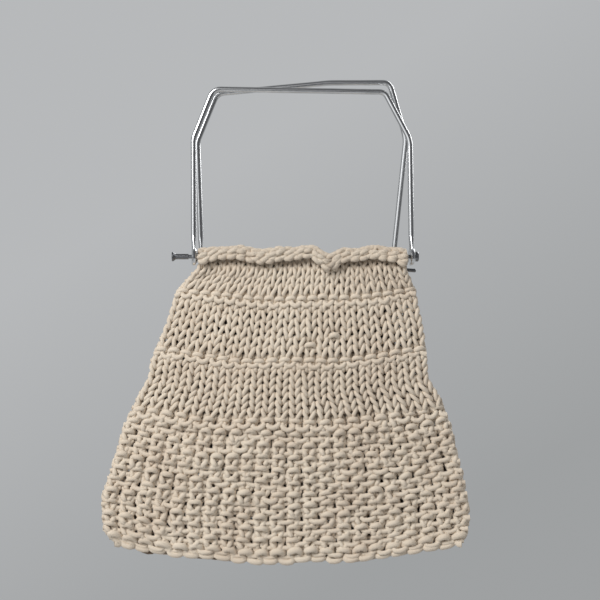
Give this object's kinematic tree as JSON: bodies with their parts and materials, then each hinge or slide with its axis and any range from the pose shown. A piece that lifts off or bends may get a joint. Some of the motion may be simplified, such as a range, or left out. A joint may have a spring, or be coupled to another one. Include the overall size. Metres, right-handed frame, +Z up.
{
  "type": "knitted handbag",
  "caption": "Flat knitted bag with rolled hems on thin steel rods and a pair of bent wire handles that swing apart to open its mouth.",
  "frame": {"origin": "the hanging point, midway between the bars of the two handles", "axes": "+X to the right seen from the front, +Y towards the back, +Z up; the front panel faces -Y"},
  "size_m": [0.3018, 0.035, 0.3902],
  "materials": {
    "wire": "polished bright wire, slightly bent",
    "rod_steel": "dull grey steel",
    "yarn": "smooth bulky cream cotton yarn, knitted"
  },
  "bodies": {
    "bag": {"front_panel": "yarn", "back_panel": "yarn", "front_rod": "rod_steel", "back_rod": "rod_steel"},
    "front_handle": {"front_handle": "wire"},
    "back_handle": {"back_handle": "wire"},
    "sleeve_nut": {"front_sleeve_nut": "rod_steel"}
  },
  "joints": [
    {"name": "front_handle_swing", "type": "hinge", "parent": "bag", "child": "front_handle", "pos_m": [0, -0.009, -0.1365], "axis": [1, 0, 0], "range_deg": [0, 155]},
    {"name": "back_handle_swing", "type": "hinge", "parent": "bag", "child": "back_handle", "pos_m": [-0.0818, 0.009, -0.1372], "axis": [-0.9983, 0, 0.058], "range_deg": [0, 152]},
    {"name": "sleeve_nut_turn", "type": "hinge", "parent": "bag", "child": "sleeve_nut", "pos_m": [-0.1, -0.009, -0.1365], "axis": [1, 0, 0], "continuous": true}
  ]
}
